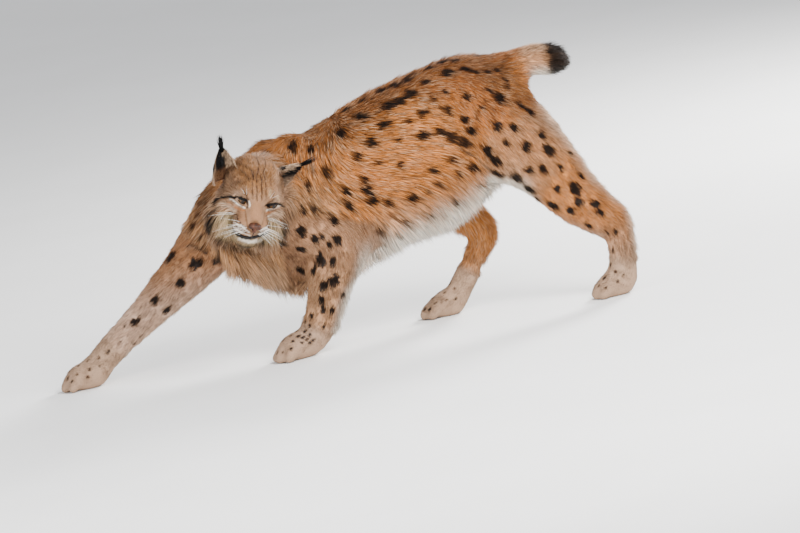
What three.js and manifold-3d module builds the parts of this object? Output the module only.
// A Eurasian lynx at life size, striding down a slope with its head turned to its left side.
// Millimetres, +Z up. The lynx walks towards -X, its left side faces -Y, and its four soles stand on
// the floor at Z = 0. The flesh is a smooth field of limbs and muscles, skinned by a surface net and
// parted by thin flat cuts. Places are in the frame of the pose, and the whole model is moved at the
// end so that its origin is on the floor under the middle of its box.
import * as THREE from "three";
import { mergeVertices } from "three/addons/utils/BufferGeometryUtils.js";
import Module from "manifold-3d";

const wasm = await Module();
wasm.setup();

const V = (x, y, z) => new THREE.Vector3(x, y, z);

// Driving dimensions

const GAP = 0.3; // between touching pieces
const BODY_CELLS = [34, 26, 26]; // cells of the surface nets along X, Y and Z
const PAW_CELLS = [13, 12.6, 12.6];
const HEAD_CELLS = [9.8, 9.8, 9.8];
const LIMB_BLEND = 34; // how softly limbs grow out of the trunk
const TRUNK_FLATNESS = 0.7; // width of the trunk over its depth
const LEG_FLATNESS = 0.84;
const EYE_RADIUS = 12.5;
const LID_THICKNESS = 2.6;
const EYE_OPENING = { width: 25, height: 11.5 };
const EAR_LENGTH = 60; // above the root
const EAR_WIDTH = 60;
const EAR_WALL = 5;
const TUFT_LENGTH = 36; // of the black tuft on each ear
const RUFF_LOCK = { length: 60, width: 36, thickness: 8 };
const THROAT_LOCK = { length: 36, width: 30, thickness: 8 };
const BELLY_LOCK = { length: 38, width: 64, thickness: 14 };
const CHEST_LOCK = { length: 48, width: 58, thickness: 14 };
const NOSE = { width: 29, height: 19, depth: 13 };
const TOE_RADIUS = 14;
const PAD_DEPTH = 33; // the floor cuts a flat sole from the pads

// Chains run from the root outwards: each entry is the centre of a section and its half depth.
const TRUNK = [
  [V(434, 0, 418), 46],
  [V(376, 0, 451), 104],
  [V(350, 0, 430), 142],
  [V(271, 0, 406), 155],
  [V(160, -2, 374), 157],
  [V(66, -8, 335), 157],
  [V(-18, -18, 306), 150],
  [V(-96, -26, 294), 124],
  [V(-156, -30, 290), 92],
];
const NECK = [
  [V(-62, -24, 338), 108],
  [V(-112, -92, 362), 96],
  [V(-136, -152, 382), 76],
  [V(-144, -206, 392), 58],
];
const TAIL = [
  [V(422, 0, 514), 46],
  [V(470, 0, 531), 35],
  [V(510, 0, 527), 38],
  [V(550, 0, 521), 35],
];
const FORELEG_LEFT = [
  [V(-46, -60, 434), 52],
  [V(-90, -92, 335), 66],
  [V(-26, -100, 272), 66],
  [V(20, -106, 222), 57],
  [V(-20, -107, 148), 50],
  [V(-46, -106, 82), 43],
  [V(-74, -106, 42), 36],
];
const FORELEG_RIGHT = [
  [V(-92, 46, 412), 57],
  [V(-190, 48, 330), 80],
  [V(-258, 52, 262), 70],
  [V(-322, 54, 208), 58],
  [V(-410, 49, 144), 45],
  [V(-500, 42, 82), 36],
  [V(-548, 40, 44), 32],
];
const HINDLEG_LEFT = [
  [V(384, -42, 450), 82],
  [V(424, -66, 382), 95],
  [V(470, -80, 328), 79],
  [V(515, -86, 264), 66],
  [V(545, -88, 220), 58],
  [V(582, -90, 182), 50],
  [V(610, -90, 154), 41],
  [V(617, -90, 112), 34],
  [V(610, -90, 44), 33],
];
const HINDLEG_RIGHT = [
  [V(384, 42, 450), 82],
  [V(324, 62, 400), 84],
  [V(236, 74, 344), 68],
  [V(282, 78, 240), 46],
  [V(330, 80, 166), 35],
  [V(298, 80, 110), 30],
  [V(252, 78, 46), 28],
];

// Cores of the long coat that hangs in locks under the belly and the chest.
const BELLY_CORE = [
  [V(70, -6, 238), 30],
  [V(150, -4, 264), 40],
  [V(230, 0, 262), 48],
  [V(300, 0, 296), 40],
];
const CHEST_CORE = [
  [V(-222, 4, 246), 28],
  [V(-150, -20, 214), 38],
  [V(-88, -28, 192), 44],
];

// Each paw: the ball of the foot, the way its toes point, and its size.
const PAWS = {
  forepaw_left: { ball: V(-112, -112, 26), heading: V(-1, -0.28, 0), width: 84, reach: 50 },
  forepaw_right: { ball: V(-578, 38, 26), heading: V(-1, 0.04, 0), width: 84, reach: 50 },
  hindpaw_left: { ball: V(588, -90, 24), heading: V(-1, -0.06, 0), width: 72, reach: 46 },
  hindpaw_right: { ball: V(222, 77, 24), heading: V(-1, 0.05, 0), width: 72, reach: 52 },
};

// The skull's frame: forward is the way the muzzle points, left is towards the left ear.
const SKULL = V(-146, -230, 394);
const FACE_FORWARD = V(0.034, -0.906, -0.423).normalize();
const FACE_LEFT = V(0.913, 0.2, -0.356).normalize();
const FACE_UP = new THREE.Vector3().crossVectors(FACE_FORWARD, FACE_LEFT).normalize();

// A place on the head, from its distances forward, left and up from the middle of the skull.
const onHead = (forward, left, up) =>
  SKULL.clone()
    .addScaledVector(FACE_FORWARD, forward)
    .addScaledVector(FACE_LEFT, left)
    .addScaledVector(FACE_UP, up);

// The field: distances to the flesh, negative inside it

const FAR = 90; // beyond this distance a shape is measured by its box alone

function softMin(a, b, k) {
  const h = Math.max(k - Math.abs(a - b), 0) / k;
  return Math.min(a, b) - (h * h * k) / 4;
}

// Wraps a distance function with the box that holds its shape, so that far points are quick.
function boxed(box, distance) {
  return (p) => {
    const away = box.distanceToPoint(p);
    return away > FAR ? away : distance(p);
  };
}

// Round sections along a smooth curve, flattened along the direction across.
function chain(entries, { flatness = 1, across = V(0, 1, 0), steps = 5 } = {}) {
  const spots = new THREE.CatmullRomCurve3(entries.map(([centre]) => centre));
  const sizes = new THREE.CatmullRomCurve3(entries.map(([, size], i) => V(size, i * 100, 0)));
  const count = steps * (entries.length - 1);
  const stretch = 1 / flatness - 1;
  const flatten = (p) => p.clone().addScaledVector(across, stretch * p.dot(across));
  const rings = [];
  const box = new THREE.Box3();
  for (let i = 0; i <= count; i++) {
    const centre = spots.getPoint(i / count);
    const size = sizes.getPoint(i / count).x;
    rings.push({ centre: flatten(centre), size });
    box.union(new THREE.Box3().setFromCenterAndSize(centre, V(2 * size, 2 * size, 2 * size)));
  }
  const axis = V(0, 0, 0);
  const q = V(0, 0, 0);
  const away = V(0, 0, 0);
  return boxed(box, (p) => {
    q.copy(p).addScaledVector(across, stretch * p.dot(across));
    let nearest = Infinity;
    for (let i = 0; i < count; i++) {
      const a = rings[i];
      const b = rings[i + 1];
      axis.subVectors(b.centre, a.centre);
      away.subVectors(q, a.centre);
      const t = THREE.MathUtils.clamp(away.dot(axis) / axis.lengthSq(), 0, 1);
      const size = a.size + (b.size - a.size) * t;
      nearest = Math.min(nearest, away.addScaledVector(axis, -t).length() - size);
    }
    return nearest;
  });
}

// An ellipsoid with half sizes along its own three axes.
function egg(centre, halves, axes = [V(1, 0, 0), V(0, 1, 0), V(0, 0, 1)]) {
  const reach = 2 * Math.max(...halves);
  const box = new THREE.Box3().setFromCenterAndSize(centre, V(reach, reach, reach));
  const away = V(0, 0, 0);
  return boxed(box, (p) => {
    away.subVectors(p, centre);
    let near = 0;
    let slope = 0;
    for (let i = 0; i < 3; i++) {
      const part = away.dot(axes[i]) / halves[i];
      near += part * part;
      slope += (part / halves[i]) ** 2;
    }
    near = Math.sqrt(near);
    return slope > 0 ? ((near - 1) * near) / Math.sqrt(slope) : -Math.min(...halves);
  });
}

// An egg on the head, placed and turned in the skull's frame.
const headEgg = (forward, left, up, halves) =>
  egg(onHead(forward, left, up), halves, [FACE_FORWARD, FACE_LEFT, FACE_UP]);

const blend = (k, ...shapes) => (p) => shapes.reduce((d, shape) => softMin(d, shape(p), k), Infinity);
const carve = (k, shape, ...hollows) => (p) =>
  hollows.reduce((d, hollow) => -softMin(-d, hollow(p), k), shape(p));
const both = (v, make) => [make(v), make(-v)];

// The paws: a broad ball of the foot, four toes in a fan, and the wrist or heel that carries them.
function paw({ ball, heading, width, reach }) {
  const ahead = heading.clone().normalize();
  const side = V(-ahead.y, ahead.x, 0);
  const pad = egg(ball, [0.56 * width, 0.45 * width, PAD_DEPTH], [ahead, side, V(0, 0, 1)]);
  const toes = [-1.5, -0.5, 0.5, 1.5].map((place) => {
    const outer = Math.abs(place) > 1;
    const spread = (place * width) / 4.3;
    const length = outer ? 0.66 * reach : reach;
    const knuckle = ball.clone().addScaledVector(side, 0.8 * spread).addScaledVector(ahead, 8);
    const tip = ball.clone().addScaledVector(side, 1.12 * spread).addScaledVector(ahead, length);
    knuckle.z = 27;
    tip.z = TOE_RADIUS - 5;
    return chain([
      [knuckle, TOE_RADIUS],
      [knuckle.clone().lerp(tip, 0.55).setZ(25), TOE_RADIUS + 1],
      [tip, TOE_RADIUS - 1],
    ], { steps: 3 });
  });
  return blend(5, pad, ...toes);
}

const paws = Object.values(PAWS).map(paw);
const legs = [FORELEG_LEFT, FORELEG_RIGHT, HINDLEG_LEFT, HINDLEG_RIGHT].map((entries) =>
  chain(entries, { flatness: LEG_FLATNESS }),
);
const trunk = chain(TRUNK, { flatness: TRUNK_FLATNESS });
const neck = chain(NECK);
const tail = chain(TAIL);
const cores = [BELLY_CORE, CHEST_CORE].map((entries) => chain(entries, { flatness: 0.8 }));
const body = blend(14, blend(LIMB_BLEND, trunk, neck, ...cores, blend(22, ...legs)), tail);

const EYE = { forward: 45, left: 34, up: 8 };
const skull = blend(
  16,
  headEgg(-22, 0, 14, [74, 62, 54]),
  headEgg(30, 0, 20, [36, 46, 32]),
  ...both(1, (s) => headEgg(-30, s * 22, 28, [44, 34, 44])),
  ...both(1, (s) => headEgg(6, s * 46, -14, [42, 31, 40])),
  ...both(1, (s) => headEgg(42, s * 30, 24, [17, 19, 10])),
);
const muzzle = blend(
  12,
  chain([[onHead(34, 0, -16), 38], [onHead(70, 0, -29), 26]]),
  ...both(1, (s) => headEgg(70, s * 17, -37, [25, 19, 18])),
  chain([[onHead(40, 0, 8), 19], [onHead(85, 0, -15), 12]]),
  chain([[onHead(14, 0, -46), 38], [onHead(54, 2, -60), 24]]),
  headEgg(60, 5, -72, [24, 21, 22]),
);
const ruff = blend(14, ...both(1, (s) => headEgg(-8, s * 48, -52, [22, 20, 40])));
const head = carve(
  18,
  blend(18, skull, muzzle, ruff, neck),
  ...both(1, (s) => headEgg(EYE.forward + 26, s * (EYE.left + 2), EYE.up, [18, 17, 11])),
);

// Surface net: each cell that the surface crosses gets one vertex for each sheet of surface in it, and
// each crossed grid edge gets a square between the four cells round it. Corners are numbered by bits.

const CORNERS = [0, 1, 2, 3, 4, 5, 6, 7].map((c) => V(c & 1, (c >> 1) & 1, (c >> 2) & 1));
const EDGES = [];
const EDGE_FROM = new Map(); // the edge that leaves a corner along an axis bit
for (let corner = 0; corner < 8; corner++)
  for (const bit of [1, 2, 4])
    if (!(corner & bit)) {
      EDGE_FROM.set(corner * 8 + bit, EDGES.length);
      EDGES.push([corner, corner | bit]);
    }
const edgeBetween = (a, b) => EDGE_FROM.get(Math.min(a, b) * 8 + Math.abs(a - b));
const SQUARES = []; // the six faces, each as its four corners in order
for (const [bit, p, q] of [[1, 2, 4], [2, 4, 1], [4, 1, 2]])
  for (const base of [0, bit]) SQUARES.push([base, base | p, base | p | q, base | q]);

// Groups a cell's crossed edges into sheets: returns each edge's sheet, or -1 where it isn't crossed.
function sheetsOf(inside) {
  const sheet = EDGES.map(([a, b], e) => (inside[a] === inside[b] ? -1 : e));
  const join = (e, f) => {
    const [from, to] = [sheet[f], sheet[e]];
    for (let i = 0; i < sheet.length; i++) if (sheet[i] === from) sheet[i] = to;
  };
  for (const ring of SQUARES) {
    const edges = ring.map((corner, i) => edgeBetween(corner, ring[(i + 1) % 4]));
    const crossed = edges.filter((e) => sheet[e] >= 0);
    if (crossed.length === 2) join(crossed[0], crossed[1]);
    if (crossed.length === 4)
      ring.forEach((corner, i) => inside[corner] && join(edges[i], edges[(i + 3) % 4]));
  }
  return sheet;
}

function net(field, box, cells) {
  const cell = V(...cells);
  const size = box.getSize(V(0, 0, 0)).divide(cell).ceil();
  const [nx, ny, nz] = [size.x + 1, size.y + 1, size.z + 1];
  const at = (i, j, k) => i + nx * (j + ny * k);
  const values = new Float32Array(nx * ny * nz);
  const place = (i, j, k, p = V(0, 0, 0)) => p.set(i, j, k).multiply(cell).add(box.min);
  const p = V(0, 0, 0);
  const eachPoint = (short, visit) => {
    for (let k = 0; k < nz - short; k++)
      for (let j = 0; j < ny - short; j++) for (let i = 0; i < nx - short; i++) visit(i, j, k);
  };
  eachPoint(0, (i, j, k) => {
    const rim = i * j * k === 0 || i === nx - 1 || j === ny - 1 || k === nz - 1;
    values[at(i, j, k)] = rim ? cell.x : field(place(i, j, k, p));
  });
  const settle = (spot) => {
    const slope = [V(1, 0, 0), V(0, 1, 0), V(0, 0, 1)].map((axis) =>
      field(spot.clone().add(axis)) - field(spot.clone().sub(axis)),
    );
    const uphill = V(...slope).divideScalar(2);
    const move = -field(spot) / Math.max(uphill.lengthSq(), 0.3);
    return spot.addScaledVector(uphill, THREE.MathUtils.clamp(move, -cell.y / 3, cell.y / 3));
  };
  const offsets = CORNERS.map((c) => at(c.x, c.y, c.z));
  const vertexOf = new Map();
  const positions = [];
  eachPoint(1, (i, j, k) => {
    const here = at(i, j, k);
    const v = offsets.map((offset) => values[here + offset]);
    const inside = v.map((value) => value < 0);
    if (inside.every((value) => value === inside[0])) return;
    const sheet = sheetsOf(inside);
    for (const one of new Set(sheet.filter((s) => s >= 0))) {
      const middle = V(0, 0, 0);
      let count = 0;
      sheet.forEach((s, e) => {
        if (s !== one) return;
        const [a, b] = EDGES[e];
        middle.add(p.copy(CORNERS[a]).lerp(CORNERS[b], v[a] / (v[a] - v[b])));
        vertexOf.set(here * 12 + e, positions.length / 3);
        count += 1;
      });
      middle.divideScalar(count).add(V(i, j, k));
      positions.push(...settle(place(middle.x, middle.y, middle.z)).toArray());
    }
  });
  const faces = [];
  const span = (a, b) => Math.hypot(...[0, 1, 2].map((i) => positions[3 * a + i] - positions[3 * b + i]));
  eachPoint(1, (i, j, k) => {
    const here = at(i, j, k);
    for (let axis = 0; axis < 3; axis++) {
      const [along, s, t] = [0, 1, 2].map((turn) => 1 << (axis + turn) % 3);
      const inside = values[here] < 0;
      if (inside === values[here + offsets[along]] < 0) continue;
      const round = [0, s, s | t, t].map((corner) =>
        vertexOf.get((here - offsets[corner]) * 12 + EDGE_FROM.get(corner * 8 + along)),
      );
      if (!inside) round.reverse();
      const [a, b, c, d] = round;
      if (span(a, c) < span(b, d)) faces.push(a, b, c, a, c, d);
      else faces.push(b, c, d, b, d, a);
    }
  });
  return new wasm.Manifold(
    new wasm.Mesh({
      numProp: 3,
      vertProperties: new Float32Array(positions),
      triVerts: new Uint32Array(faces),
    }),
  );
}

// Solids

// A three.js geometry as a solid.
function solid(geometry) {
  const bare = geometry.clone();
  bare.deleteAttribute("normal");
  bare.deleteAttribute("uv");
  const merged = mergeVertices(bare, 1e-4);
  return new wasm.Manifold(
    new wasm.Mesh({
      numProp: 3,
      vertProperties: new Float32Array(merged.attributes.position.array),
      triVerts: new Uint32Array(merged.index.array),
    }),
  );
}

const EVERYWHERE = solid(new THREE.BoxGeometry(4000, 4000, 4000));
const join = (...pieces) => wasm.Manifold.union(pieces);
const largest = (piece) => piece.decompose().sort((a, b) => b.volume() - a.volume())[0];
const ball = (centre, radius, around = 14) =>
  solid(new THREE.SphereGeometry(radius, around, Math.round(0.7 * around)).translate(...centre));

// A plane is a place on it and the way it faces. Within keeps what lies ahead of every plane, and
// part parts a piece into that and the rest.
function within(piece, planes, margin = GAP / 2) {
  return planes.reduce((rest, [place, way]) => {
    const normal = way.clone().normalize();
    return rest.trimByPlane(normal.toArray(), normal.dot(place) + margin);
  }, piece);
}
const part = (piece, ...planes) => [
  largest(within(piece, planes)),
  largest(piece.subtract(within(EVERYWHERE, planes, -GAP / 2))),
];
const back = ([place, way]) => [place, way.clone().negate()];

// A geometry moved so that its X, Y and Z run along three directions from a place.
function placed(geometry, place, x, y, z) {
  return geometry.applyMatrix4(new THREE.Matrix4().makeBasis(x, y, z).setPosition(place));
}

// Where a field's surface lies on a line from a place inside it.
function surfaceFrom(field, start, way) {
  const step = way.clone().normalize();
  const probe = (reach) => field(start.clone().addScaledVector(step, reach));
  let far = 4;
  while (probe(far) < 0) far += 4;
  let near = far - 4;
  for (let i = 0; i < 12; i++) {
    const middle = (near + far) / 2;
    if (probe(middle) < 0) near = middle;
    else far = middle;
  }
  return start.clone().addScaledVector(step, near);
}

// A closed tube of few sides along points.
function tube(points, radius, sides = 6, steps = 14) {
  const section = new THREE.Shape();
  for (let i = 0; i < sides; i++) {
    const turn = (2 * Math.PI * i) / sides;
    section[i ? "lineTo" : "moveTo"](radius * Math.cos(turn), radius * Math.sin(turn));
  }
  const extrudePath = new THREE.CatmullRomCurve3(points);
  return solid(new THREE.ExtrudeGeometry(section, { steps, extrudePath, bevelEnabled: false }));
}

// A closed slab with two faces: place(u, v, face) gives its points, with face 1 outside and 0 inside.
function slab(rows, columns, place) {
  const width = columns + 1;
  const size = width * (rows + 1);
  const positions = [];
  for (const face of [1, 0])
    for (let row = 0; row <= rows; row++)
      for (let column = 0; column <= columns; column++)
        positions.push(...place(row / rows, column / columns, face).toArray());
  const faces = [];
  const square = (a, b, c, d) => faces.push(a, b, c, a, c, d);
  const at = (row, column) => row * width + column;
  for (let row = 0; row < rows; row++)
    for (let column = 0; column < columns; column++) {
      const ring = [at(row, column), at(row, column + 1), at(row + 1, column + 1), at(row + 1, column)];
      square(...ring);
      square(...ring.map((i) => i + size).reverse());
    }
  const rim = [];
  for (let column = 0; column < columns; column++) rim.push(at(0, column));
  for (let row = 0; row < rows; row++) rim.push(at(row, columns));
  for (let column = columns; column > 0; column--) rim.push(at(rows, column));
  for (let row = rows; row > 0; row--) rim.push(at(row, 0));
  rim.forEach((a, i) => {
    const b = rim[(i + 1) % rim.length];
    square(b, a, a + size, b + size);
  });
  const geometry = new THREE.BufferGeometry();
  geometry.setAttribute("position", new THREE.Float32BufferAttribute(positions, 3));
  geometry.setIndex(faces);
  const made = solid(geometry);
  if (made.volume() > 0) return made;
  geometry.setIndex(faces.reverse());
  return solid(geometry);
}

// Locks of long hair: flat and tapered, each bends from the way it grows to the way the coat lies, and
// its flat side faces one way.

let seed = 11;
function random() {
  seed = (seed * 16807) % 2147483647;
  return seed / 2147483647;
}
const vary = (size, share) => size * (1 + share * (2 * random() - 1));

const LOCK_SECTIONS = [[0, 0.85], [0.4, 1], [0.76, 0.6]]; // way along, share of the width
function lock({ root, out, lie, facing, length, width, thickness, sink = 0.3 }) {
  const side = new THREE.Vector3().crossVectors(facing, lie).normalize();
  const bend = new THREE.QuadraticBezierCurve3(
    root.clone().addScaledVector(out, -sink * length).addScaledVector(lie, -0.12 * length),
    root.clone().addScaledVector(out, 0.12 * length).addScaledVector(lie, 0.34 * length),
    root.clone().addScaledVector(out, 0.02 * length).addScaledVector(lie, length),
  );
  const positions = [];
  for (const [along, share] of LOCK_SECTIONS) {
    const centre = bend.getPoint(along);
    const face = new THREE.Vector3().crossVectors(side, bend.getTangent(along)).normalize();
    const [across, deep] = [(share * width) / 2, ((1 - 0.5 * along) * thickness) / 2];
    for (const [direction, reach] of [[side, across], [face, deep], [side, -across], [face, -deep]])
      positions.push(...centre.clone().addScaledVector(direction, reach).toArray());
  }
  positions.push(...bend.getPoint(1).toArray());
  const tip = 4 * LOCK_SECTIONS.length;
  const faces = [0, 1, 2, 0, 2, 3];
  for (let start = 0; start < tip; start += 4)
    for (let i = 0; i < 4; i++) {
      const [a, b] = [start + i, start + ((i + 1) % 4)];
      if (start + 4 === tip) faces.push(a, tip, b);
      else faces.push(a, a + 4, b + 4, a, b + 4, b);
    }
  const geometry = new THREE.BufferGeometry();
  geometry.setAttribute("position", new THREE.Float32BufferAttribute(positions, 3));
  geometry.setIndex(faces);
  const made = solid(geometry);
  return made.volume() > 0 ? made : solid(geometry.setIndex(faces.reverse()));
}

// One lock of a kind, varied in size, on a field's surface where a line from inside comes out. Its lie
// is drawn most of the way down to the surface.
function lockOn(field, inside, way, lie, facing, { length, width, thickness }) {
  const out = way.clone().normalize();
  const flat = lie.clone().normalize();
  return lock({
    root: surfaceFrom(field, inside, out),
    out,
    lie: flat.addScaledVector(out, 0.12 - flat.dot(out) * 0.6).normalize(),
    facing,
    length: vary(length, 0.14),
    width: vary(width, 0.12),
    thickness,
  });
}

// Trunk and limbs

const BODY_BOX = new THREE.Box3(V(-700, -310, -46), V(700, 190, 640));
const NECK_CUT = [V(-128, -140, 375), V(-0.35, -0.85, 0.35)];
const HEAD_CUT = [onHead(-62, 0, 0), FACE_FORWARD];
const TAIL_CUT = [V(478, 0, 520), V(0.95, 0, 0.3)];
const LEG_CUTS = {
  foreleg_left: [
    [V(0, -48, 0), V(0, -1, 0)],
    [V(-20, 0, 312), V(-0.36, 0, -1)],
    [V(-118, 0, 0), V(1, 0, 0)],
    [V(104, 0, 250), V(-1, 0, -0.25)],
  ],
  foreleg_right: [[V(-258, 0, 262), V(-0.75, 0, -0.66)]],
  hindleg_left: [
    [V(0, -34, 0), V(0, -1, 0)],
    [V(360, 0, 380), V(1, 0, -0.3)],
    [V(440, 0, 430), V(0.35, 0, -1)],
  ],
  hindleg_right: [
    [V(0, 34, 0), V(0, 1, 0)],
    [V(164, 0, 300), V(1, 0, 0.2)],
    [V(300, 0, 392), V(0.5, 0, -1)],
  ],
};
const FOOT_CUTS = {
  foreleg_left: [V(-62, 0, 66), V(-0.5, 0, -0.86)],
  foreleg_right: [V(-500, 0, 82), V(-0.78, 0, -0.62)],
  hindleg_left: [V(619, 0, 82), V(-0.2, 0, -1)],
  hindleg_right: [V(288, 0, 92), V(-0.55, 0, -0.84)],
};
const KNEE_CUTS = {
  hindleg_left: [V(480, 0, 276), V(0.8, 0, -0.6)],
  hindleg_right: [V(262, 0, 272), V(0.35, 0, -0.94)],
};
const TRUNK_CUTS = [
  [V(96, 0, 330), V(1, 0, 0.12)],
  [V(296, 0, 400), V(1, 0, 0.12)],
];

const flesh = {};
let rest = net(body, BODY_BOX, BODY_CELLS);
[flesh.neck, rest] = part(rest, NECK_CUT);
[flesh.tail, rest] = part(rest, TAIL_CUT, [V(0, 0, 478), V(0, 0, 1)]);
for (const [leg, cuts] of Object.entries(LEG_CUTS)) {
  let limb;
  [limb, rest] = part(rest, ...cuts);
  limb = within(limb, [back(FOOT_CUTS[leg])]);
  if (KNEE_CUTS[leg]) {
    flesh[leg.replace("hindleg", "shank")] = largest(within(limb, [KNEE_CUTS[leg]]));
    flesh[leg.replace("hindleg", "thigh")] = largest(within(limb, [back(KNEE_CUTS[leg])]));
  } else flesh[leg] = largest(limb);
}
const LONG_COAT = [
  { kind: CHEST_LOCK, count: 2, tilt: -0.6, from: V(-188, -6, 256), to: V(-148, -12, 246) },
  { kind: CHEST_LOCK, count: 3, tilt: 0, from: V(-170, -6, 252), to: V(-94, -18, 236) },
  { kind: CHEST_LOCK, count: 3, tilt: 0.6, from: V(-186, 0, 256), to: V(-98, -8, 236) },
  { kind: BELLY_LOCK, count: 4, tilt: -0.7, from: V(112, -8, 272), to: V(290, 0, 312) },
  { kind: BELLY_LOCK, count: 4, tilt: 0, from: V(130, -6, 276), to: V(276, 0, 308) },
  { kind: BELLY_LOCK, count: 4, tilt: 0.7, from: V(112, 0, 272), to: V(262, 4, 306) },
];
const coat = LONG_COAT.flatMap(({ kind, count, tilt, from, to }) =>
  Array.from({ length: count }, (_, i) => {
    const share = (i + 0.4 * (random() - 0.5)) / (count - 1);
    const lie = V(0.34 + 0.2 * random(), 0.25 * tilt, -0.9);
    const facing = V(0.5 * (random() - 0.5), tilt < 0 ? -1 : 1, 0);
    return lockOn(body, from.clone().lerp(to, share), V(0, tilt, -1), lie, facing, kind);
  }),
);
const legRooms = Object.values(LEG_CUTS).map((cuts) => within(EVERYWHERE, cuts, -GAP / 2));
rest = join(rest, ...coat).subtract(join(...legRooms));
flesh.chest = largest(within(rest, [back(TRUNK_CUTS[0])]));
flesh.belly = largest(within(rest, [TRUNK_CUTS[0], back(TRUNK_CUTS[1])]));
flesh.rump = largest(within(rest, [TRUNK_CUTS[1]]));
flesh.neck = largest(within(flesh.neck, [back(HEAD_CUT)]));

const FLOOR = [V(0, 0, 0), V(0, 0, 1)];
Object.entries(PAWS).forEach(([name, { ball: place }], i) => {
  const leg = Object.keys(FOOT_CUTS)[i];
  const box = new THREE.Box3().setFromCenterAndSize(V(place.x, place.y, 60), V(300, 200, 190));
  const foot = net(blend(18, legs[i], paws[i]), box, PAW_CELLS);
  flesh[name] = largest(within(within(foot, [FOOT_CUTS[leg]]), [FLOOR], 0));
});

// Head

const HEAD_BOX = new THREE.Box3(V(-300, -380, 240), V(20, -90, 540));
const headNet = (margin) => net((p) => head(p) - margin, HEAD_BOX, HEAD_CELLS);
const grownHead = headNet(GAP);
flesh.head = within(headNet(0), [HEAD_CUT, NECK_CUT]);

// Eyes: a ball in a socket, under a lid shell with an almond opening.
const sides = { left: 1, right: -1 };
const lids = {};
for (const [side, s] of Object.entries(sides)) {
  const centre = onHead(EYE.forward, s * EYE.left, EYE.up);
  const gaze = onHead(1, s * 0.32, -0.05).sub(SKULL).normalize();
  const up = FACE_UP.clone().addScaledVector(FACE_LEFT, s * 0.16).projectOnPlane(gaze).normalize();
  const across = new THREE.Vector3().crossVectors(up, gaze).normalize();
  const { width, height } = EYE_OPENING;
  const round = (width ** 2 + height ** 2) / (4 * height);
  const [above, below] = [1, -1].map((way) =>
    solid(
      placed(
        new THREE.CylinderGeometry(round, round, 30, 22).rotateX(Math.PI / 2).translate(0, 0, 20),
        centre.clone().addScaledVector(up, way * (round - height / 2)),
        across,
        up,
        gaze,
      ),
    ),
  );
  flesh[`eye_${side}`] = ball(centre, EYE_RADIUS);
  lids[side] = {
    lid: ball(centre, EYE_RADIUS + GAP + LID_THICKNESS),
    hollow: join(ball(centre, EYE_RADIUS + GAP), above.intersect(below)),
  };
}
for (const { lid } of Object.values(lids)) flesh.head = flesh.head.add(lid);
for (const { hollow } of Object.values(lids)) flesh.head = flesh.head.subtract(hollow);

// Nose: a rounded wedge of leather, set into the tip of the muzzle, with two nostrils.
function noseLeather(grow) {
  const half = NOSE.width / 2 + grow;
  const [top, low] = [NOSE.height * 0.42 + grow, -NOSE.height * 0.58 - grow];
  const outline = new THREE.Shape();
  outline.moveTo(-0.8 * half, top);
  outline.quadraticCurveTo(0, top + 2, 0.8 * half, top);
  outline.quadraticCurveTo(1.15 * half, 0.5 * top, 0.72 * half, -0.2 * NOSE.height);
  outline.quadraticCurveTo(0.3 * half, 0.7 * low, 0, low);
  outline.quadraticCurveTo(-0.3 * half, 0.7 * low, -0.72 * half, -0.2 * NOSE.height);
  outline.quadraticCurveTo(-1.15 * half, 0.5 * top, -0.8 * half, top);
  const bevel = 3;
  const geometry = new THREE.ExtrudeGeometry(outline, {
    depth: NOSE.depth - bevel,
    curveSegments: 4,
    bevelSize: bevel,
    bevelThickness: bevel,
    bevelOffset: -bevel,
    bevelSegments: 1,
  });
  const tilt = FACE_UP.clone().addScaledVector(FACE_FORWARD, -0.25).normalize();
  const out = new THREE.Vector3().crossVectors(FACE_LEFT, tilt).normalize();
  return solid(placed(geometry, onHead(93, -1, -24), FACE_LEFT, tilt, out));
}
const nostrils = both(1, (s) =>
  tube([onHead(98, s * 6, -27), onHead(105, s * 7, -27), onHead(116, s * 11, -26)], 3, 6, 3),
);
flesh.nose = largest(noseLeather(0).subtract(join(...nostrils)));
flesh.head = flesh.head.subtract(noseLeather(GAP));

// Mouth: a groove between two lips that runs round the muzzle.
const MOUTH_TURNS = [-118, -90, -60, -30, 0, 30, 60, 90, 118]; // round the muzzle, in degrees
function mouthLine(rise) {
  return MOUTH_TURNS.map((turn) => {
    const angle = THREE.MathUtils.degToRad(turn);
    const middle = onHead(56, 0, -56 + rise - 5 * Math.sin(angle) ** 2);
    const way = onHead(Math.cos(angle), Math.sin(angle), 0).sub(SKULL);
    return surfaceFrom(head, middle, way);
  });
}
flesh.head = join(flesh.head, tube(mouthLine(4), 3.6), tube(mouthLine(-4), 3.4));
flesh.head = flesh.head.subtract(tube(mouthLine(0), 2));

// Ruff: two tiers of locks fan down each cheek, and a few hang between them under the throat.
const RUFF_TIERS = [{ forward: -24, count: 4, start: 14 }, { forward: 2, count: 4, start: 26 }];
const ruffLocks = [];
for (const s of [1, -1])
  for (const { forward, count, start } of RUFF_TIERS)
    for (let i = 0; i < count; i++) {
      const fall = THREE.MathUtils.degToRad(start + 17 * i);
      const inside = onHead(forward - 2 * i, s * 28, -14 - 8 * i);
      const way = onHead(0, s * Math.cos(fall), -Math.sin(fall)).sub(SKULL);
      const lie = onHead(-0.22, s * (0.06 - 0.05 * i), -1).sub(SKULL);
      const facing = onHead(0.8, s * 0.6, 0).sub(SKULL);
      const kind = { ...RUFF_LOCK, length: RUFF_LOCK.length * (1 - 0.09 * i) };
      ruffLocks.push(lockOn(head, inside, way, lie, facing, kind));
    }
const THROAT_PLACES = [-24, -8, 8, 24]; // to the left of the middle
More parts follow.
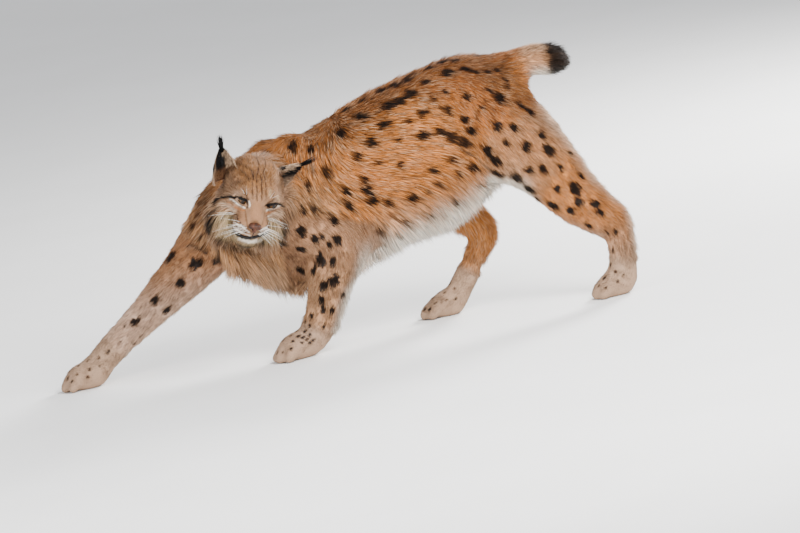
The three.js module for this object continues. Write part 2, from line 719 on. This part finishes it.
THROAT_PLACES.forEach((across, i) => {
  const way = onHead(0.15, across / 60, -1).sub(SKULL);
  const lie = onHead(-0.7, across / 80, -1).sub(SKULL);
  const inside = onHead(14 + 8 * (i % 2), across, -40);
  ruffLocks.push(lockOn(head, inside, way, lie, FACE_FORWARD, THROAT_LOCK));
});
flesh.head = largest(within(join(flesh.head, ...ruffLocks), [HEAD_CUT, NECK_CUT]));

// Ears: a cupped leaf that wraps round its own axis, cut to the head it stands on.
const EARS = {
  ear_left: { root: onHead(-42, 52, 26), tip: onHead(-56, 110, 58), open: V(-0.3, -0.75, -0.6) },
  ear_right: { root: onHead(-30, -62, 20), tip: onHead(-45, -82, 74), open: V(0.25, -0.95, -0.15) },
};
const TUFT_LEANS = [-0.07, 0, 0.09]; // how far each lock of a tuft leans across the ear
for (const [name, { root, tip, open }] of Object.entries(EARS)) {
  const axis = tip.clone().sub(root).normalize();
  const front = open.clone().projectOnPlane(axis).normalize();
  const side = new THREE.Vector3().crossVectors(axis, front);
  const shell = slab(6, 7, (u, v, face) => {
    const rise = (u * 1.25 - 0.25) * EAR_LENGTH;
    const turn = (v * 2 - 1) * THREE.MathUtils.degToRad(112 - 50 * u);
    const taper = Math.max(1 - u ** 1.6, 0) ** 0.8;
    const wall = (face - 0.5) * EAR_WALL * (0.35 + 0.65 * (1 - u));
    const radius = (EAR_WIDTH / 2) * (0.06 + 0.94 * taper) + wall;
    return root
      .clone()
      .addScaledVector(axis, rise)
      .addScaledVector(front, -radius * Math.cos(turn) * 0.8 + 0.3 * EAR_WIDTH * taper)
      .addScaledVector(side, radius * Math.sin(turn));
  });
  const tufts = TUFT_LEANS.map((lean) =>
    lock({
      root: root.clone().addScaledVector(axis, 0.93 * EAR_LENGTH),
      out: axis.clone().addScaledVector(side, -lean).normalize(),
      lie: axis.clone().addScaledVector(side, lean).addScaledVector(front, -0.12).normalize(),
      facing: front,
      length: vary(TUFT_LENGTH, 0.12),
      width: 9,
      thickness: 4,
    }),
  );
  flesh[name] = largest(join(shell.subtract(grownHead), ...tufts));
}

// Colours and the scene graph

const COAT = new THREE.MeshStandardMaterial({ color: 0xb98558, roughness: 0.9 });
const PALE = new THREE.MeshStandardMaterial({ color: 0xd9cdb8, roughness: 0.9 });
const GREY = new THREE.MeshStandardMaterial({ color: 0xa8927c, roughness: 0.9 });
const BLACK = new THREE.MeshStandardMaterial({ color: 0x2a2521, roughness: 0.9 });
const IRIS = new THREE.MeshStandardMaterial({ color: 0x8a7438, roughness: 0.15 });
const LEATHER = new THREE.MeshStandardMaterial({ color: 0x7d5348, roughness: 0.6 });
const materialOf = (name) => {
  if (name.startsWith("eye")) return IRIS;
  if (name.startsWith("ear")) return BLACK;
  if (name === "nose") return LEATHER;
  if (name.includes("paw")) return PALE;
  return name === "head" ? GREY : COAT;
};

// One named mesh of a solid, with the places of the pose.
function meshOf([name, piece]) {
  const { vertProperties, triVerts } = piece.getMesh();
  const geometry = new THREE.BufferGeometry();
  geometry.setAttribute("position", new THREE.BufferAttribute(vertProperties, 3));
  geometry.setIndex(new THREE.BufferAttribute(triVerts, 1));
  const mesh = new THREE.Mesh(geometry, materialOf(name));
  mesh.name = name;
  return mesh;
}

const lynx = new THREE.Group();
lynx.add(...Object.entries(flesh).map(meshOf));
const bounds = new THREE.Box3().setFromObject(lynx);
const middle = bounds.getCenter(V(0, 0, 0));
lynx.position.set(-middle.x, -middle.y, 0);

export default lynx;
